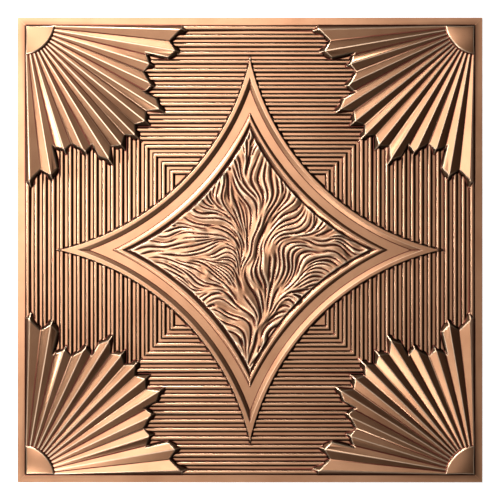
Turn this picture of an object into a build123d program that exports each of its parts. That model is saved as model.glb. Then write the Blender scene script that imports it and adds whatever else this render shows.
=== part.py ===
# Drop ceiling tile: one sheet formed over a mould, with square ribs, corner fans and a star frame.
# Millimetres. The tile lies on its back, pattern up: +Z leaves the face, the origin is under its centre.

import os
from math import cos, radians, sin, sqrt, tan

from build123d import *

# Square sheet for a 610 mm ceiling grid, with the flat rim that lies on the grid's flanges
SIDE = 603.0
SHEET = 0.7
RIM = 9.7

# Concentric square ribs, counted from the rim inwards
RIB_COUNT = 18
RIB_PITCH = 11.0
RIB_FOOT = 7.0
RIB_TOP = 2.6
RIB_HEIGHT = 3.3
RIB_INSET = 0.4

# Corner fans of pleats that open from the corner of the rim
RIDGE_RISE = 0.053
VALLEY_RISE = 0.023
FAN_DRAFT = 28.0

# Pleats from the rim to the diagonal of the corner: angles from the rim and reach of the ends.
# A valley with two reaches is a step between pleats of different length.
RIDGE_ANGLE = (2.1, 10.1, 17.6, 25.2, 32.2, 38.8, 45.0)
RIDGE_REACH = (212.0, 207.5, 176.5, 190.0, 219.5, 209.0, 215.0)
VALLEY_ANGLE = (0.0, 6.3, 13.8, 21.3, 28.6, 35.5, 42.0)
VALLEY_REACH = ((204.0,), (192.0,), (191.5, 165.0), (168.0,), (181.5, 196.5), (196.5,), (196.0,))

# Pillowed quarter disc in the corner, where the pleats start
DISC_RADIUS = 39.0
DISC_HEIGHT = 5.5
DISC_CROWN_RADIUS = 110.0
DISC_CROWN_PLACE = 18.0
DISC_DRAFT = 30.0

# Star frame, from its foot to the centre field: reach of the points, reach of the waist and height
STAR_FOOT = (254.3, 89.9, 0.0)
EDGE_BEAD_OUTSIDE = (246.5, 87.6, 5.5)
EDGE_BEAD_INSIDE = (224.0, 85.0, 5.5)
BAND_OUTSIDE = (209.0, 80.9, 2.5)
BAND_INSIDE = (178.0, 73.3, 2.5)
FIELD_BEAD_OUTSIDE = (172.0, 70.8, 4.8)
FIELD_BEAD_INSIDE = (166.0, 68.5, 4.8)
FIELD_EDGE = (160.0, 65.8, 2.0)

HALF = SIDE / 2
CORNER = HALF - RIM
FORM_BASE = -2 * SHEET
FAN_LENGTH = max(RIDGE_REACH) + RIB_PITCH
FAN_TOP = RIDGE_RISE * max(RIDGE_REACH)
DIAGONAL_ANGLE = RIDGE_ANGLE[-1]
DIAGONAL = Plane(origin=(0, 0, 0), x_dir=(1, 1, 0), z_dir=(1, -1, 0))


def rib_section():
    """Section across the ribs from the centre of the tile to its edge, as one closed outline."""
    slope = (RIB_FOOT - RIB_TOP) / 2
    points = [(0, FORM_BASE), (HALF, FORM_BASE), (HALF, SHEET)]
    for number in range(RIB_COUNT):
        foot = CORNER - RIB_INSET - number * RIB_PITCH
        points += [(foot, SHEET), (foot - slope, SHEET + RIB_HEIGHT)]
        points += [(foot - slope - RIB_TOP, SHEET + RIB_HEIGHT), (foot - RIB_FOOT, SHEET)]
    return points + [(0, SHEET)]


def fan_point(reach, angle):
    """Point in plan at a reach from the corner of the rim, at an angle from the upper rim."""
    heading = radians(180.0 + angle)
    return (CORNER + reach * cos(heading), CORNER + reach * sin(heading))


def fan_outline():
    """Zigzag foot of a fan from one rim to the other, closed round the corner of the sheet."""
    half = []
    for number, reaches in enumerate(VALLEY_REACH):
        half += [(reach, VALLEY_ANGLE[number]) for reach in reaches]
        half.append((RIDGE_REACH[number], RIDGE_ANGLE[number]))
    mirrored = [(reach, 2 * DIAGONAL_ANGLE - angle) for reach, angle in reversed(half[:-1])]
    points = [fan_point(reach, angle) for reach, angle in half + mirrored]
    along_rim = CORNER - VALLEY_REACH[0][0]
    return points + [(HALF, along_rim), (HALF, HALF), (along_rim, HALF)]


def inset(points, distance):
    """Counterclockwise outline with every side moved inwards by the distance, corners mitred."""
    moved = []
    for before, point, after in zip(points[-1:] + points[:-1], points, points[1:] + points[:1]):
        arriving = (Vector(*point) - Vector(*before)).normalized()
        leaving = (Vector(*after) - Vector(*point)).normalized()
        first, second = arriving.rotate(Axis.Z, 90), leaving.rotate(Axis.Z, 90)
        corner = Vector(*point) + (first + second) * (distance / (1 + first.dot(second)))
        moved.append((corner.X, corner.Y))
    return moved


def pleat_point(angle, rise):
    """Point of the section across the diagonal, on a ray from the corner that climbs by the rise."""
    turn = radians(angle - DIAGONAL_ANGLE)
    return (FAN_LENGTH * tan(turn), SHEET + rise * FAN_LENGTH / cos(turn))


def pleat_section():
    """Section of the pleats across the diagonal, from rim to rim and down below the sheet."""
    half = []
    for number, angle in enumerate(RIDGE_ANGLE):
        if number:
            half.append(pleat_point(VALLEY_ANGLE[number], VALLEY_RISE))
        half.append(pleat_point(angle, RIDGE_RISE))
    mirrored = [(-along, height) for along, height in reversed(half[:-1])]
    ends = [(FAN_LENGTH, SHEET), (FAN_LENGTH, -FAN_LENGTH), (-FAN_LENGTH, -FAN_LENGTH)]
    return [(-FAN_LENGTH, SHEET)] + half + mirrored + ends


def star_face(outline):
    """Quarter of a four-pointed outline with arcs from point to point, at its height over the rim."""
    point_reach, waist_reach, height = outline
    with BuildSketch(Plane.XY.offset(SHEET + height)) as quarter:
        with BuildLine():
            ThreePointArc((point_reach, 0), (waist_reach, waist_reach), (0, point_reach))
            Polyline((0, point_reach), (0, 0), (point_reach, 0))
        make_face()
    return quarter.sketch


# Quarter of the sheet's mould, ribs first: one section along each side, mitred at the diagonal
with BuildPart() as ribs:
    with BuildSketch(Plane.XZ):
        with BuildLine():
            Polyline(*rib_section(), close=True)
        make_face()
    extrude(amount=-HALF)
    split(bisect_by=DIAGONAL, keep=Keep.TOP)
    mirror(about=DIAGONAL)

# Block with the fan's zigzag end walls, which lean back by the draft
with BuildPart() as fan_block:
    with BuildSketch(Plane.XY.offset(SHEET)):
        with BuildLine():
            Polyline(*fan_outline(), close=True)
        make_face()
    with BuildSketch(Plane.XY.offset(SHEET + FAN_TOP)):
        with BuildLine():
            Polyline(*inset(fan_outline(), FAN_TOP * tan(radians(FAN_DRAFT))), close=True)
        make_face()
    loft(ruled=True)

# Pleats: flat facets that all run to the corner, cut off by the zigzag walls
with BuildPart() as fan:
    centre_line = CORNER - FAN_LENGTH / sqrt(2)
    across = Plane(origin=(centre_line, centre_line, 0), x_dir=(1, -1, 0), z_dir=(-1, -1, 0))
    with BuildSketch(across) as pleats:
        with BuildLine():
            Polyline(*pleat_section(), close=True)
        make_face()
    loft([pleats.sketch, Vertex(CORNER, CORNER, SHEET)], ruled=True)
    add(fan_block.part, mode=Mode.INTERSECT)

# Block with the sides of the corner disc, and the disc under its pillowed top
with BuildPart() as disc_block:
    with BuildSketch(Plane.XY.offset(SHEET)):
        with BuildLine():
            CenterArc((CORNER, CORNER), DISC_RADIUS, 180, 90)
            Polyline((CORNER, CORNER - DISC_RADIUS), (CORNER, CORNER), (CORNER - DISC_RADIUS, CORNER))
        make_face()
    extrude(amount=DISC_HEIGHT, taper=DISC_DRAFT)

with BuildPart() as disc:
    add(disc_block.part)
    crown = CORNER - DISC_CROWN_PLACE
    with Locations((crown, crown, SHEET + DISC_HEIGHT - DISC_CROWN_RADIUS)):
        Sphere(DISC_CROWN_RADIUS, mode=Mode.INTERSECT)

# Block inside the star frame's outer slope, and the frame: edge bead, flat band and bead round the field
with BuildPart() as star_block:
    loft([star_face(STAR_FOOT), star_face(EDGE_BEAD_OUTSIDE)], ruled=True)

with BuildPart() as star:
    add(star_block.part)
    loft([star_face(BAND_OUTSIDE), star_face(EDGE_BEAD_INSIDE)], ruled=True, mode=Mode.SUBTRACT)
    loft([star_face(BAND_INSIDE), star_face(FIELD_BEAD_OUTSIDE)], ruled=True)
    loft([star_face(FIELD_EDGE), star_face(FIELD_BEAD_INSIDE)], ruled=True, mode=Mode.SUBTRACT)

with BuildPart() as mould:
    add(ribs.part)
    add(fan_block.part, mode=Mode.SUBTRACT)
    add(fan.part)
    add(disc_block.part, mode=Mode.SUBTRACT)
    add(disc.part)
    add(star_block.part, mode=Mode.SUBTRACT)
    add(star.part)

# The sheet follows the mould on both sides, so its walls thin where they are steep
with BuildPart() as ceiling_tile:
    add(mould.part)
    with Locations((0, 0, -SHEET)):
        add(mould.part, mode=Mode.SUBTRACT)
    mirror(about=Plane.YZ)
    mirror(about=Plane.XZ)

os.makedirs("parts", exist_ok=True)
ceiling_tile.part.label = "ceiling_tile"
export_step(ceiling_tile.part, "parts/ceiling_tile.step")
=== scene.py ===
# Drop ceiling tile: one thin formed sheet with a satin copper finish, lying face up under a soft light.
# Shapes are worked out in millimetres, in the frame of the solid, and the meshes are made in metres.

from math import cos, hypot, pi, radians, sin, tan, tau

import bmesh
import bpy
import numpy as np
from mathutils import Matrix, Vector
from mathutils.bvhtree import BVHTree
from mathutils.geometry import delaunay_2d_cdt


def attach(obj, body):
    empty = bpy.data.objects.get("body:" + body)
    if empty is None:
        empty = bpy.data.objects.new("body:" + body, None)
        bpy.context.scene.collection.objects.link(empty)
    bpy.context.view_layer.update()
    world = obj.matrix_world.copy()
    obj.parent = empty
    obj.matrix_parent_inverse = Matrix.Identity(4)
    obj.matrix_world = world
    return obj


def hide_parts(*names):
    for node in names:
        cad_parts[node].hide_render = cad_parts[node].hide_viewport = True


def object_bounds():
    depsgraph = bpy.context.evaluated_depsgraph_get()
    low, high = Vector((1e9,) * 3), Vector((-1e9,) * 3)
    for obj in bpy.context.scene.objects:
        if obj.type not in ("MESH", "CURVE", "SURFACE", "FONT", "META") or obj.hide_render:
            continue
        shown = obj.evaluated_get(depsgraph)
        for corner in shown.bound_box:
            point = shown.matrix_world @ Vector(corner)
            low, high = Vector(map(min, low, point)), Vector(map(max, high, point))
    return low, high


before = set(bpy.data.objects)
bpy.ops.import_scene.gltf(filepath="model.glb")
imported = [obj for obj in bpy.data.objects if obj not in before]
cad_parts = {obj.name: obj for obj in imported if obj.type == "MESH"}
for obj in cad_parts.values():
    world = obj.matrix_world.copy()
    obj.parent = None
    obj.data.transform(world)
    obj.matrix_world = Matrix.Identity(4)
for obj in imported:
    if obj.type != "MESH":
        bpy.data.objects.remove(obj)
cad_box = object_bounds()

MM = 0.001
NODE = "ceiling_tile"

# Sheet and rim, as in the solid
SHEET = 0.7
RIM = 9.7
HALF = cad_box[1].x / MM
CORNER = HALF - RIM

# Concentric square ribs, as in the solid
RIB_COUNT = 18
RIB_PITCH = 11.0
RIB_FOOT = 7.0
RIB_TOP = 2.6
RIB_HEIGHT = 3.3
RIB_INSET = 0.4

# Corner fans and discs, as in the solid: beyond this reach from the rim's corner there is no fan
FAN_REACH = 224.0
DISC_RADIUS = 39.0
DISC_HEIGHT = 5.5
DISC_CROWN_RADIUS = 110.0
DISC_CROWN_PLACE = 18.0
DISC_DRAFT = 30.0

# Star frame from its foot to the field, as in the solid: reach of the points, reach of the waist, height
STAR = (
    (254.3, 89.9, 0.0),
    (246.5, 87.6, 5.5),
    (224.0, 85.0, 5.5),
    (209.0, 80.9, 2.5),
    (178.0, 73.3, 2.5),
    (172.0, 70.8, 4.8),
    (166.0, 68.5, 4.8),
    (160.0, 65.8, 2.0),
)
FIELD = STAR[-1]

# Rounding of the creases, in general and on the fans, by a round patch at each place.
# The patch is its centre and two rings: share of the radius, number of places and weight.
ROUND = 0.75
FAN_ROUND = 1.25
PATCH = ((0.0, 1, 0.0625), (0.5, 6, 0.5), (0.92, 12, 0.4375))

# Fold of a crease, which sets the painted highlight on ridges and the painted shade in valleys: it is full
# where the middle stands this share of the radius off its patch.
# The ribs' ridges count for less, so that they carry less painted highlight.
FOLD = 0.12
RIB_HIGHLIGHT_SHARE = 0.5

# Creases of the solid's face that the sheet follows, and how finely round stretches are divided
CREASE_ANGLE = radians(8.0)
UPWARD = 0.05
WELD = 0.002
NEAR_STAR = 0.3
STAR_STEPS = 90
FIELD_STEPS = 220
DISC_TURNS = 30
DISC_RINGS = (5.0, 11.0, 17.0, 23.0, 28.0, 32.0, 34.2, 35.0, 35.6, 36.2, 36.8, 37.4, 38.0, 38.6, 39.3)


def patch_samples(radius):
    """Offsets and weights of the places that stand for a small round patch."""
    offsets, weights = [], []
    for share, count, weight in PATCH:
        for step in range(count):
            turn = tau * step / count
            offsets.append((radius * share * cos(turn), radius * share * sin(turn)))
            weights.append(weight / count)
    return np.array(offsets), np.array(weights)


def rib_height(x, y):
    """Height of the ribs over the rim."""
    slope = (RIB_FOOT - RIB_TOP) / 2
    across = CORNER - RIB_INSET - np.maximum(x, y)
    number = np.floor(across / RIB_PITCH)
    place = across - number * RIB_PITCH
    stations = (0.0, slope, slope + RIB_TOP, RIB_FOOT)
    height = np.interp(place, stations, (0.0, RIB_HEIGHT, RIB_HEIGHT, 0.0))
    return np.where((number >= 0) & (number < RIB_COUNT), height, 0.0)


def disc_height(x, y):
    """Height of the corner disc under its pillowed top, negative outside it."""
    reach = np.hypot(CORNER - x, CORNER - y)
    inside = np.minimum(DISC_RADIUS - reach, np.minimum(CORNER - x, CORNER - y))
    from_crown = np.hypot(x - CORNER + DISC_CROWN_PLACE, y - CORNER + DISC_CROWN_PLACE)
    bulge = np.sqrt(np.maximum(DISC_CROWN_RADIUS**2 - from_crown**2, 0.0)) - DISC_CROWN_RADIUS
    return np.minimum(inside / tan(radians(DISC_DRAFT)), DISC_HEIGHT + bulge)


def star_circle(outline):
    """Centre and radius of the arc between two points of the star: the centre is on the diagonal."""
    point, waist = outline[:2]
    centre = (point**2 - 2 * waist**2) / (2 * point - 4 * waist)
    return centre, hypot(point - centre, centre)


def star_depth(outline, x, y):
    """How far inside an outline of the star a place lies, negative outside."""
    centre, radius = star_circle(outline)
    return np.hypot(x - centre, y - centre) - radius


def star_height(x, y):
    """Height of the star frame over the rim, zero outside its foot."""
    height = np.zeros_like(x)
    for outer, inner in zip(STAR, STAR[1:]):
        past_outer, past_inner = star_depth(outer, x, y), star_depth(inner, x, y)
        strip = (past_outer >= 0) & (past_inner < 0)
        share = past_outer[strip] / (past_outer[strip] - past_inner[strip])
        height[strip] = outer[2] + share * (inner[2] - outer[2])
    height[star_depth(FIELD, x, y) >= 0] = FIELD[2]
    return height


def solid_mesh():
    """Welded copy of the solid's mesh, in millimetres."""
    solid = bmesh.new()
    solid.from_mesh(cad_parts[NODE].data)
    bmesh.ops.scale(solid, vec=(1 / MM, 1 / MM, 1 / MM), verts=solid.verts)
    bmesh.ops.remove_doubles(solid, verts=solid.verts, dist=WELD)
    solid.normal_update()
    return solid


# The solid's own face, which the fans and the creases follow
solid = solid_mesh()
solid_tree = BVHTree.FromBMesh(solid)
ABOVE = 2 * cad_box[1].z / MM
DOWN = Vector((0, 0, -1))


def fan_height(x, y):
    """Height of the solid's own face over the rim."""
    hits = (solid_tree.ray_cast(Vector((across, along, ABOVE)), DOWN)[0] for across, along in zip(x, y))
    return np.array([hit.z - SHEET for hit in hits])


def form_height(x, y):
    """Height of the formed face over the rim, with sharp creases and a plain field."""
    x, y = np.minimum(np.abs(x), HALF - WELD), np.minimum(np.abs(y), HALF - WELD)
    height = rib_height(x, y)
    fan = np.hypot(CORNER - x, CORNER - y) < FAN_REACH
    height[fan] = fan_height(x[fan], y[fan])
    height = np.maximum(height, disc_height(x, y))
    ribs_end = star_depth(STAR[1], x, y) >= 0
    return np.maximum(np.where(ribs_end, 0.0, height), star_height(x, y))


def on_fan(plan):
    """Whether a fan reaches into the rounding at plan places."""
    samples = plan[:, None, :] + patch_samples(FAN_ROUND)[0]
    x, y = samples[..., 0].ravel(), samples[..., 1].ravel()
    beyond = np.abs(form_height(x, y) - np.maximum(rib_height(x, y), star_height(x, y))) > WELD
    near = np.hypot(CORNER - plan[:, 0], CORNER - plan[:, 1]) < FAN_REACH
    return near & beyond.reshape(len(plan), -1).any(axis=1)


def rounded_height(plan, radius=ROUND):
    """Height, slope and fold of the face with rounded creases: a plane fitted to a patch at each place.

    The fold is 1 on a ridge, -1 in a valley and 0 where the face is flat.
    """
    offsets, weights = patch_samples(radius)
    samples = plan[:, None, :] + offsets
    heights = form_height(samples[..., 0].ravel(), samples[..., 1].ravel()).reshape(len(plan), -1)
    spread = (weights * offsets[:, 0] ** 2).sum()
    slope = heights @ (offsets * weights[:, None]) / spread
    height = heights @ weights
    return height, slope, np.clip((heights[:, 0] - height) / (FOLD * radius), -1, 1)


def rounded_face(plan):
    """Height, slope and fold of the face, rounder on the fans, with a smaller fold on the ridges of the
    ribs for less painted highlight.
    """
    height, slope, fold = rounded_height(plan)
    fan = on_fan(plan)
    fold = np.where(fold > 0, RIB_HIGHLIGHT_SHARE * fold, fold)
    height[fan], slope[fan], fold[fan] = rounded_height(plan[fan], FAN_ROUND)
    return height, slope, fold


def clipped(line):
    """Part of a plan line that lies in the first quarter, or nothing."""
    first, second = line
    for axis in (0, 1):
        if first[axis] < 0 and second[axis] < 0:
            return None
        if first[axis] < 0 or second[axis] < 0:
            crossing = first + (second - first) * first[axis] / (first[axis] - second[axis])
            crossing[axis] = 0.0
            first, second = (crossing, second) if first[axis] < 0 else (first, crossing)
    return first, second


def solid_creases():
    """Plan lines of the creases that the solid's face has outside the star's edge bead."""
    lines = []
    for edge in solid.edges:
        if len(edge.link_faces) != 2 or min(face.normal.z for face in edge.link_faces) < UPWARD:
            continue
        if edge.calc_face_angle() < CREASE_ANGLE:
            continue
        line = clipped([np.array(corner.co.xy) for corner in edge.verts])
        if line and np.ptp(line, axis=0).max() > WELD:
            lines.append(line)
    lines = np.array(lines)
    past_foot = star_depth(STAR[0], lines[..., 0], lines[..., 1])
    past_bead = star_depth(STAR[1], lines[..., 0], lines[..., 1])
    along_foot = (np.abs(past_foot) < NEAR_STAR).all(axis=1)
    on_frame = (past_bead > -NEAR_STAR).all(axis=1)
    return lines[~along_foot & ~on_frame]


def with_parallels(lines):
    """The lines and a parallel on each side, where the rounding of the crease ends."""
    along = lines[:, 1] - lines[:, 0]
    length = np.linalg.norm(along, axis=1, keepdims=True)
    square = np.abs(along).min(axis=1, keepdims=True) < WELD
    side = np.stack((-along[:, 1], along[:, 0]), axis=1) / length * np.where(square, ROUND, FAN_ROUND)
    beside = [lines + side[:, None], lines - side[:, None]]
    cut = [clipped(line) for line in np.concatenate(beside)]
    return list(lines) + [line for line in cut if line]


def star_arc(outline, outwards, steps):
    """Points on the arc of a star outline, or beside it, from the X axis to the Y axis."""
    centre, radius = star_circle(outline)
    radius -= outwards
    start = np.arcsin(centre / radius)
    turns = pi + np.linspace(start, pi / 2 - start, steps + 1)
    arc = centre + radius * np.stack((np.cos(turns), np.sin(turns)), axis=1)
    arc[0, 1] = arc[-1, 0] = 0.0
    return arc


def chain(points):
    """Lines from each point to the next."""
    return list(np.stack((points[:-1], points[1:]), axis=1))


def star_lines():
    """Plan lines of the star frame: its outlines with their roundings, and the creases on its points."""
    lines = chain(star_arc(FIELD, 0.0, FIELD_STEPS)) + chain(star_arc(FIELD, ROUND, STAR_STEPS))
    for outline in STAR[:-1]:
        for outwards in (-ROUND, 0.0, ROUND):
            lines += chain(star_arc(outline, outwards, STAR_STEPS))
    point_crease = np.array(((FIELD[0], ROUND), (STAR[0][0], ROUND)))
    return lines + [point_crease, point_crease[:, ::-1]]


def disc_places():
    """Places on the pillowed corner disc, on rings round the corner."""
    turns = np.linspace(0, pi / 2, DISC_TURNS + 1)
    ring = np.stack((np.cos(turns), np.sin(turns)), axis=1)
    return np.concatenate([CORNER - radius * ring for radius in DISC_RINGS])


def quarter_plan():
    """Places and triangles of a quarter of the sheet round the field, with sides along every crease."""
    square = np.array(((0.0, 0.0), (HALF, 0.0), (HALF, HALF), (0.0, HALF), (0.0, 0.0)))
    lines = np.array(chain(square) + with_parallels(solid_creases()) + star_lines())
    ends = np.concatenate((lines.reshape(-1, 2), disc_places()))
    pairs = [(2 * number, 2 * number + 1) for number in range(len(lines))]
    made = delaunay_2d_cdt([Vector(end) for end in ends], pairs, [], 0, WELD, False)
    plan, triangles = np.array([tuple(place) for place in made[0]]), np.array(made[2])
    middle = plan[triangles].mean(axis=1)
    triangles = triangles[star_depth(FIELD, middle[:, 0], middle[:, 1]) < 0]
    used, triangles = np.unique(triangles, return_inverse=True)
    return plan[used], triangles.reshape(-1, 3)


def four_quarters(plan, triangles, height, slope, fold):
    """The quarter and its mirror images, joined along the axes."""
    signs = np.array(((1, 1), (-1, 1), (-1, -1), (1, -1)))
    faces = [triangles, triangles[:, ::-1], triangles, triangles[:, ::-1]]
    faces = np.concatenate([face + number * len(plan) for number, face in enumerate(faces)])
    plans, slopes = ((values[None] * signs[:, None]).reshape(-1, 2) for values in (plan, slope))
    keys = np.round(plans / WELD).astype(int)
    _, kept, joined = np.unique(keys, axis=0, return_index=True, return_inverse=True)
    faces = joined.reshape(-1)[faces]
    height, fold = (np.tile(values, len(signs))[kept] for values in (height, fold))
    return plans[kept], faces, height, slopes[kept], fold


def placed(name, data):
    """New object in the scene."""
    made = bpy.data.objects.new(name, data)
    bpy.context.scene.collection.objects.link(made)
    return made


def unit(vectors):
    """Vectors brought to a length of 1."""
    return vectors / np.linalg.norm(vectors, axis=1, keepdims=True)


def open_sides(faces, count):
    """Sides of one face only, which bound the sheet, in the order of that face."""
    sides = np.stack((faces, np.roll(faces, -1, axis=1)), axis=-1).reshape(-1, 2)
    order = np.sort(sides, axis=1)
    _, first, times = np.unique(order[:, 0] * count + order[:, 1], return_index=True, return_counts=True)
    return sides[first[times == 1]]


def closed_sheet(name, plan, faces, height, slope, fold):
    """A sheet as a mesh: its face, a back that follows the face, and the edges between them."""
    count = len(plan)
    upper = np.column_stack((plan, SHEET + height)) * MM
    lower = np.column_stack((plan, height)) * MM
    rim = open_sides(faces, count)
    edges = np.stack((rim[:, 1], rim[:, 0], rim[:, 0] + count, rim[:, 1] + count), axis=1)
    polygons = faces.tolist() + (faces[:, ::-1] + count).tolist() + edges.tolist()
    mesh = bpy.data.meshes.new(name)
    mesh.from_pydata(np.concatenate((upper, lower)).tolist(), [], polygons)
    normal = unit(np.column_stack((-slope, np.ones(count))))
    along = plan[rim[:, 1]] - plan[rim[:, 0]]
    outward = unit(np.column_stack((along[:, 1], -along[:, 0], np.zeros(len(rim)))))
    outward = np.repeat(outward, edges.shape[1], axis=0)
    of_corners = (normal[faces.ravel()], -normal[faces[:, ::-1].ravel()], outward)
    mesh.polygons.foreach_set("use_smooth", [True] * len(polygons))
    mesh.normals_split_custom_set(np.concatenate(of_corners).tolist())
    mesh.validate()
    folds = mesh.attributes.new("fold", "FLOAT", "POINT")
    folds.data.foreach_set("value", np.concatenate((fold, np.zeros(count))))
    return placed(name, mesh)


# Carved field: stems that its strands follow, as plan points from the root outwards
STEMS = (
    ((0, -152), (5, -105), (14, -62), (8, -18), (14, 28), (4, 78), (0, 152)),
    ((8, -30), (-22, -6), (-62, 10), (-104, 2), (-152, 0)),
    ((12, -70), (38, -34), (52, 4), (92, 12), (152, 0)),
    ((10, -8), (-14, 30), (-40, 52), (-62, 66)),
    ((12, 6), (34, 28), (48, 52), (66, 66)),
    ((4, -112), (-18, -72), (-40, -52), (-66, -64)),
    ((8, -100), (30, -78), (52, -62), (68, -66)),
)
STEM_STEPS = 14

# Flow of the strands: along the stem that is near, away from it further off, turned a little here and there
STEM_NEAR = 9.0
STEM_FALLOFF = 1.5
STEM_SPREAD = 0.75
STEM_SPREAD_REACH = 26.0
FLOW_CELL = 4.0
FLOW_TURN = radians(27.0)
FLOW_TURN_BLUR = 12.0

# Level of the carving, which fades towards the field's edge, and its rise and fall in locks of strands
CARVE_CELL = 0.4
CARVE_SEED = 11
CARVE_LEVEL = 3.0
CARVE_BLUR = 0.32
CARVE_FADE = 3.0
LOCK_CELL = 2 * CARVE_CELL
LOCK_HEIGHT = 0.8
LOCK_BLUR = 3.2
LOCK_STEPS = 26

# Strands, narrow and broad, and the grooves between them
STRAND_WIDTH = (3.0, 6.6)
STRAND_WIDTH_BLUR = 12.0
STRAND_WIDTH_SPREAD = 0.25
STRAND_ROUND = 0.55
GROOVE_DEPTH = 3.2
GROOVE_SHALLOWEST = 0.8
GROOVE_CLOSEST = 0.5
GROOVE_STEP = 0.8
GROOVE_STEPS = 56
GROOVE_SHORTEST = 9
GROOVE_TAPER = 0.2
GROOVE_MARGIN = 0.8
GROOVE_SEEDS = 16000

# Crests of the strands, which get the painted highlight of the ridges and the painted shade of the valleys:
# how far they stand out of their surroundings
CREST_BLUR = 1.6
CREST_HEIGHT = 0.65

# Reading between cells stops this share of a cell short of the last line
CELL_MARGIN = 0.001


def smooth_curve(points, steps):
    """Points of a smooth curve through the given points, and its directions."""
    points = np.array(points, float)
    ends = np.concatenate((2 * points[:1] - points[1:2], points, 2 * points[-1:] - points[-2:-1]))
    share = np.linspace(0, 1, steps, endpoint=False)[:, None]
    curve = []
    for before, first, second, after in zip(ends, ends[1:], ends[2:], ends[3:]):
        bend = 2 * before - 5 * first + 4 * second - after
        twist = 3 * first - before - 3 * second + after
        curve.append(first + 0.5 * share * (second - before + share * (bend + share * twist)))
    curve = np.concatenate(curve + [points[-1:]])
    return curve[:-1], np.diff(curve, axis=0)


class Raster:
    """Square grid of values over the field, read between its cells."""

    def __init__(self, cell):
        self.cell = cell
        self.count = int(2 * FIELD[0] / cell) + 1
        line = np.arange(self.count) * cell - FIELD[0]
        self.x, self.y = np.meshgrid(line, line, indexing="ij")
        self.values = np.zeros_like(self.x)

    def read(self, plan, values):
        """Values at plan places, weighed between the four cells around each."""
        place = np.clip((plan + FIELD[0]) / self.cell, 0, self.count - 1 - CELL_MARGIN)
        low = place.astype(int)
        share = place - low
        near, far = low, low + 1
        weights = [(1 - share[..., 0]) * (1 - share[..., 1]), share[..., 0] * (1 - share[..., 1])]
        weights += [(1 - share[..., 0]) * share[..., 1], share[..., 0] * share[..., 1]]
        corners = [values[near[..., 0], near[..., 1]], values[far[..., 0], near[..., 1]]]
        corners += [values[near[..., 0], far[..., 1]], values[far[..., 0], far[..., 1]]]
        if values.ndim == 3:
            weights = [weight[..., None] for weight in weights]
        return sum(weight * corner for weight, corner in zip(weights, corners))

    def blurred(self, values, blur):
        """Values smoothed by a bell of the given width in millimetres."""
        waves = np.fft.fftfreq(self.count, self.cell)
        bell = np.exp(-2 * (pi * blur) ** 2 * (waves[:, None] ** 2 + waves[None] ** 2))
        return np.fft.ifft2(np.fft.fft2(values) * bell).real

    def noise(self, random, blur):
        """Smooth random values of unit spread."""
        values = self.blurred(random.standard_normal(self.x.shape), blur)
        return values / values.std()


def strand_flow(random):
    """Directions that the strands follow: along the nearest stem and away from it further off."""
    flow = Raster(FLOW_CELL)
    heading = np.zeros(flow.x.shape + (2,))
    for points in STEMS:
        for place, along in zip(*smooth_curve(points, STEM_STEPS)):
            away = np.stack((flow.x - place[0], flow.y - place[1]), axis=-1)
            reach = np.linalg.norm(away, axis=-1, keepdims=True)
            along = along / np.linalg.norm(along)
            spread = STEM_SPREAD * away / (reach + STEM_SPREAD_REACH)
            heading += (along + spread) / (reach**2 + STEM_NEAR**2) ** STEM_FALLOFF
    turn = FLOW_TURN * flow.noise(random, FLOW_TURN_BLUR)
    turned = heading[..., 0] + 1j * heading[..., 1]
    turned *= np.exp(1j * turn) / np.abs(turned)
    flow.values = np.stack((turned.real, turned.imag), axis=-1)
    return flow


def heading_at(flow, plan):
    """Unit directions of the strands at plan places."""
    heading = flow.read(plan, flow.values)
    return heading / np.maximum(np.linalg.norm(heading, axis=-1, keepdims=True), WELD)


def field_depth(plan):
    """How far inside the field's edge a place lies."""
    return star_depth(FIELD, np.abs(plan[..., 0]), np.abs(plan[..., 1]))


def groove_line(seed, flow, carving, gap, width):
    """Places along a groove through the seed, until it nears the edge or another groove."""
    halves = []
    for sense in (-1, 1):
        place, half = seed, []
        for _ in range(GROOVE_STEPS):
            place = place + sense * GROOVE_STEP * heading_at(flow, place)
            if field_depth(place) < GROOVE_MARGIN:
                break
            if carving.read(place, gap) < GROOVE_CLOSEST * carving.read(place, width):
                break
            half.append(place)
        halves.append(half)
    return np.array(halves[0][::-1] + [seed] + halves[1])


def groove_dents(random, flow, carving):
    """How deep the grooves cut at each cell, from 0 to 1, so that rounded strands stand between them."""
    narrow, broad = STRAND_WIDTH
    spread = np.clip(0.5 + STRAND_WIDTH_SPREAD * carving.noise(random, STRAND_WIDTH_BLUR), 0, 1)
    width = narrow + (broad - narrow) * spread
    dents, gap = np.zeros_like(carving.x), np.full_like(carving.x, broad)
    reach = int(broad / CARVE_CELL) + 1
    seeds = random.uniform(-FIELD[0], FIELD[0], (GROOVE_SEEDS, 2))
    seeds = seeds[field_depth(seeds) > GROOVE_MARGIN]
    for seed in seeds:
        if carving.read(seed, gap) < carving.read(seed, width) - WELD:
            continue
        line = groove_line(seed, flow, carving, gap, width)
        if len(line) < GROOVE_SHORTEST:
            continue
        share = np.linspace(0, 1, len(line))
        depths = np.clip(np.minimum(share, 1 - share) / GROOVE_TAPER, 0, 1)
        depths *= random.uniform(GROOVE_SHALLOWEST, 1.0)
        for place, depth, across in zip(line, depths, carving.read(line, width)):
            cells = np.round((place + FIELD[0]) / CARVE_CELL).astype(int)
            window = tuple(slice(max(cell - reach, 0), cell + reach + 1) for cell in cells)
            far = np.hypot(carving.x[window] - place[0], carving.y[window] - place[1])
            gap[window] = np.minimum(gap[window], far)
            off = np.minimum(far / (STRAND_ROUND * across), 1)
            dents[window] = np.maximum(dents[window], depth * (1 - np.sqrt(off * (2 - off))))
    return dents


def strand_locks(random, flow, carving):
    """Smooth rise and fall from strand to strand: noise drawn out along the flow."""
    noise = carving.noise(random, LOCK_BLUR)
    plan = np.stack((carving.x, carving.y), axis=-1)
    total = noise.copy()
    for sense in (-1, 1):
        place = plan
        for _ in range(LOCK_STEPS):
            place = place + sense * heading_at(flow, place)
            total += carving.read(place, noise)
    return total / total.std()


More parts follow.
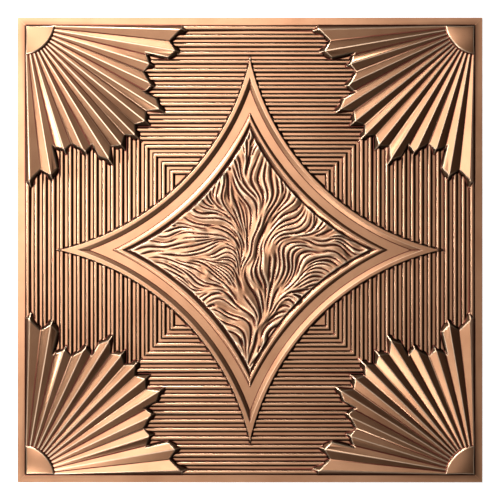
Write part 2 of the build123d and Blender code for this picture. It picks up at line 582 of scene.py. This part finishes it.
def carved_height():
    """Raster of the carving's height over the field's floor."""
    random = np.random.default_rng(CARVE_SEED)
    flow, carving = strand_flow(random), Raster(CARVE_CELL)
    dents = groove_dents(random, flow, carving)
    coarse = Raster(LOCK_CELL)
    locks = strand_locks(random, flow, coarse)
    plan = np.stack((carving.x, carving.y), axis=-1)
    height = CARVE_LEVEL + LOCK_HEIGHT * coarse.read(plan, locks) - GROOVE_DEPTH * dents
    fade = np.clip(field_depth(plan) / CARVE_FADE, 0, 1)
    height = np.maximum(height, 0.0) * fade * fade * (3 - 2 * fade)
    carving.values = carving.blurred(height, CARVE_BLUR)
    return carving


def field_plan():
    """Grid of places that fills the field, with its sides on the field's four arcs, and its faces."""
    arc = star_arc(FIELD, 0.0, FIELD_STEPS)
    share = np.linspace(0, 1, FIELD_STEPS + 1)
    u, v = share[:, None, None], share[None, :, None]
    near, far = arc[:, None], (-arc[::-1])[:, None]
    low, high = (arc * (1, -1))[None], (arc[::-1] * (-1, 1))[None]
    flat = (1 - u) * (1 - v) * arc[0] + u * (1 - v) * arc[-1] - u * v * arc[0] - (1 - u) * v * arc[-1]
    plan = (1 - v) * near + v * far + (1 - u) * low + u * high - flat
    number = np.arange(plan.shape[0] * plan.shape[1]).reshape(plan.shape[:2])
    corners = (number[:-1, :-1], number[1:, :-1], number[1:, 1:], number[:-1, 1:])
    return plan.reshape(-1, 2), np.stack(corners, axis=-1).reshape(-1, 4)


def carved_field():
    """The carved field as a sheet inside the star frame."""
    carving = carved_height()
    plan, faces = field_plan()
    height, slope, fold = rounded_height(plan)
    rise = np.stack(np.gradient(carving.values, CARVE_CELL), axis=-1)
    height += carving.read(plan, carving.values) * (field_depth(plan) > WELD)
    slope += carving.read(plan, rise)
    crest = carving.values - carving.blurred(carving.values, CREST_BLUR)
    fold += carving.read(plan, crest) / CREST_HEIGHT
    return closed_sheet("centre_relief", plan, faces, height, slope, np.clip(fold, -1, 1))


def formed_sheet():
    """The sheet with its rim, ribs, fans, discs and star frame."""
    plan, triangles = quarter_plan()
    return closed_sheet("tile_sheet", *four_quarters(plan, triangles, *rounded_face(plan)))


# Copper finish: its colours, from painted shade in the creases to a painted highlight on the ridges
# Painted shade: a dark red laid into the creases and recesses, where shade falls
PAINTED_SHADE = (0.10, 0.010, 0.002, 1)
COPPER_DARK = (0.52, 0.245, 0.125, 1)
COPPER_LIGHT = (0.62, 0.315, 0.17, 1)
# Painted highlight: a pale cream laid along the ridges, where glints fall
PAINTED_HIGHLIGHT = (0.95, 0.70, 0.48, 1)

# Soft noise in the finish: scale and detail
MOTTLING = (22.0, 4.0)
FLAKE = (900.0, 2.0)
GRAIN = (300.0, 3.0)

# Where each colour starts and where it is fullest, and how much it covers from none to there.
# Ridges, with a painted highlight, and creases, with painted shade, go by the fold; recesses, with painted
# shade, by how open they are within a reach.
MOTTLING_RANGE = (0.3, 0.7)
RIDGE_RANGE = (0.1, 0.8)
RIDGE_COVER = (0.0, 0.8)
RECESS_RANGE = (0.85, 0.45)
RECESS_COVER = (0.0, 0.92)
RECESS_REACH = 0.002
RECESS_SAMPLES = 6
CREASE_RANGE = (-0.05, -0.4)
CREASE_COVER = (0.0, 0.97)

# Gloss of the metal and its clear coat, rougher and smoother with the flake, and the depth of the grain
METALLIC = 1.0
ROUGHNESS = (0.30, 0.38)
COAT = 0.4
COAT_ROUGHNESS = 0.3
GRAIN_STRENGTH = 0.06
GRAIN_HEIGHT = 0.0003


def set_inputs(node, **inputs):
    """Values on the inputs of a shader node, by their names."""
    for name, value in inputs.items():
        node.inputs[name.replace("_", " ")].default_value = value


def node_of(tree, kind, **inputs):
    """New shader node with values set on its inputs."""
    node = tree.nodes.new(kind)
    set_inputs(node, **inputs)
    return node


def new_material(name):
    """New material, its node tree and its surface."""
    material = bpy.data.materials.new(name)
    material.use_nodes = True
    return material, material.node_tree, material.node_tree.nodes["Principled BSDF"]


def ranged(tree, value, start, end, low=0.0, high=1.0):
    """Output that goes from low to high while the value goes from start to end."""
    node = node_of(tree, "ShaderNodeMapRange", From_Min=start, From_Max=end, To_Min=low, To_Max=high)
    tree.links.new(value, node.inputs["Value"])
    return node.outputs["Result"]


def mixed(tree, share, first, second):
    """Colour that goes from the first to the second with the share."""
    node = tree.nodes.new("ShaderNodeMix")
    node.data_type = "RGBA"
    tree.links.new(share, node.inputs["Factor"])
    for socket, colour in ((node.inputs["A"], first), (node.inputs["B"], second)):
        if isinstance(colour, tuple):
            socket.default_value = colour
        else:
            tree.links.new(colour, socket)
    return node.outputs["Result"]


def noise(tree, place, scale, detail):
    """Soft noise over the surface."""
    node = node_of(tree, "ShaderNodeTexNoise", Scale=scale, Detail=detail)
    tree.links.new(place, node.inputs["Vector"])
    return node.outputs["Fac"]


def copper_finish():
    """Satin metallic copper: mottled, with a painted highlight on the ridges and painted shade in the
    creases and recesses, fine flake.
    """
    material, tree, surface = new_material("copper_finish")
    place = tree.nodes.new("ShaderNodeTexCoord").outputs["Object"]
    attribute = tree.nodes.new("ShaderNodeAttribute")
    attribute.attribute_name = "fold"
    fold = attribute.outputs["Fac"]
    recess = node_of(tree, "ShaderNodeAmbientOcclusion", Distance=RECESS_REACH)
    recess.samples = RECESS_SAMPLES
    mottling = ranged(tree, noise(tree, place, *MOTTLING), *MOTTLING_RANGE)
    tone = mixed(tree, mottling, COPPER_DARK, COPPER_LIGHT)
    # Painted highlight along the ridges, by the fold
    tone = mixed(tree, ranged(tree, fold, *RIDGE_RANGE, *RIDGE_COVER), tone, PAINTED_HIGHLIGHT)
    # Painted shade in the recesses, by how open they are
    tone = mixed(tree, ranged(tree, recess.outputs["AO"], *RECESS_RANGE, *RECESS_COVER), tone, PAINTED_SHADE)
    # Painted shade in the valleys of the creases, by the fold
    tone = mixed(tree, ranged(tree, fold, *CREASE_RANGE, *CREASE_COVER), tone, PAINTED_SHADE)
    tree.links.new(tone, surface.inputs["Base Color"])
    flake = noise(tree, place, *FLAKE)
    tree.links.new(ranged(tree, flake, 0.0, 1.0, *ROUGHNESS), surface.inputs["Roughness"])
    set_inputs(surface, Metallic=METALLIC, Coat_Weight=COAT, Coat_Roughness=COAT_ROUGHNESS)
    grain = node_of(tree, "ShaderNodeBump", Strength=GRAIN_STRENGTH, Distance=GRAIN_HEIGHT)
    tree.links.new(noise(tree, place, *GRAIN), grain.inputs["Height"])
    tree.links.new(grain.outputs["Normal"], surface.inputs["Normal"])
    return material


# White floor, which glows a little where it is seen and keeps the tile's shadow
WHITE = (1, 1, 1, 1)
FLOOR_SIDE = 6.0
FLOOR_COLOUR = (0.8, 0.8, 0.8, 1)
FLOOR_ROUGHNESS = 0.9
FLOOR_LIFT = 0.5


def floor_finish():
    """Matt white, lifted where it is seen directly or mirrored."""
    material, tree, surface = new_material("white_floor")
    set_inputs(surface, Base_Color=FLOOR_COLOUR, Roughness=FLOOR_ROUGHNESS, Emission_Color=WHITE)
    rays = tree.nodes.new("ShaderNodeLightPath")
    seen = tree.nodes.new("ShaderNodeMath")
    seen.operation = "MAXIMUM"
    tree.links.new(rays.outputs["Is Camera Ray"], seen.inputs[0])
    tree.links.new(rays.outputs["Is Glossy Ray"], seen.inputs[1])
    lift = ranged(tree, seen.outputs["Value"], 0.0, 1.0, 0.0, FLOOR_LIFT)
    tree.links.new(lift, surface.inputs["Emission Strength"])
    return material


def white_floor():
    """Plain floor under the tile."""
    mesh = bpy.data.meshes.new("floor")
    half = FLOOR_SIDE / 2
    corners = [(-half, -half, 0), (half, -half, 0), (half, half, 0), (-half, half, 0)]
    mesh.from_pydata(corners, [], [range(len(corners))])
    mesh.materials.append(floor_finish())
    floor = placed("floor", mesh)


# Square soft lamps that face the tile's centre: name, place, side and power
LAMPS = (
    ("high", (-0.45, 0.45, 1.15), 1.2, 12.0),
    ("ceiling", (-0.2, -0.4, 1.4), 1.6, 5.0),
    ("corner", (0.55, 0.6, 1.2), 0.5, 0.6),
    ("key", (-0.72, 0.72, 0.4), 0.25, 5.0),
    ("left", (-0.98, 0.1, 0.18), 0.2, 4.0),
    ("top", (-0.2, 0.97, 0.18), 0.2, 4.5),
    ("fill", (-0.5, -0.8, 0.5), 0.4, 4.5),
)


def studio_light():
    """Soft light from above and from the upper left, without light thrown from rib to rib."""
    for name, place, side, power in LAMPS:
        lamp = placed(name, bpy.data.lights.new(name, "AREA"))
        lamp.data.size = side
        lamp.data.energy = power
        lamp.location = place
        lamp.rotation_euler = (-Vector(place)).to_track_quat("-Z", "Y").to_euler()
        lamp.visible_camera = False
    bpy.context.scene.cycles.diffuse_bounces = 0
    bpy.context.scene.cycles.glossy_bounces = 0


# Dim warm room: light at the horizon, light overhead, and the height from which it is as overhead.
# A white backdrop stands behind the tile and the floor.
ROOM_COLOUR = (1.0, 0.75, 0.6, 1)
HORIZON_LIGHT = 0.2
OVERHEAD_LIGHT = 0.03
OVERHEAD_FROM = 0.4
BACKDROP_LIGHT = 0.9


def dim_room():
    """Dim room, lighter towards the horizon, with a white backdrop."""
    world = bpy.data.worlds.new("studio")
    bpy.context.scene.world = world
    world.use_nodes = True
    tree = world.node_tree
    room = tree.nodes["Background"]
    set_inputs(room, Color=ROOM_COLOUR)
    direction = tree.nodes.new("ShaderNodeSeparateXYZ")
    tree.links.new(tree.nodes.new("ShaderNodeTexCoord").outputs["Generated"], direction.inputs["Vector"])
    light = ranged(tree, direction.outputs["Z"], 0.0, OVERHEAD_FROM, HORIZON_LIGHT, OVERHEAD_LIGHT)
    tree.links.new(light, room.inputs["Strength"])
    backdrop = node_of(tree, "ShaderNodeBackground", Color=WHITE, Strength=BACKDROP_LIGHT)
    seen = tree.nodes.new("ShaderNodeMixShader")
    tree.links.new(tree.nodes.new("ShaderNodeLightPath").outputs["Is Camera Ray"], seen.inputs["Fac"])
    tree.links.new(room.outputs["Background"], seen.inputs[1])
    tree.links.new(backdrop.outputs["Background"], seen.inputs[2])
    tree.links.new(seen.outputs["Shader"], tree.nodes["World Output"].inputs["Surface"])


# Camera: lens and sensor in millimetres, and the tile's width in a picture of this many pixels
LENS = 85.0
SENSOR = 36.0
IMAGE_PIXELS = 500
TILE_PIXELS = 464.6


def straight_camera():
    """Camera straight above the tile, as far off as the tile's share of the picture asks."""
    camera = placed("camera", bpy.data.cameras.new("camera"))
    camera.data.lens = LENS
    camera.data.sensor_width = SENSOR
    across = 2 * HALF * MM * IMAGE_PIXELS / TILE_PIXELS
    camera.location = (0, 0, SHEET * MM + across * LENS / SENSOR)
    bpy.context.scene.camera = camera


finish = copper_finish()
for piece in (formed_sheet(), carved_field()):
    piece.data.materials.append(finish)
    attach(piece, "root")
    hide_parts(NODE)

white_floor()
studio_light()
dim_room()
straight_camera()
bpy.context.scene.view_settings.view_transform = "Standard"
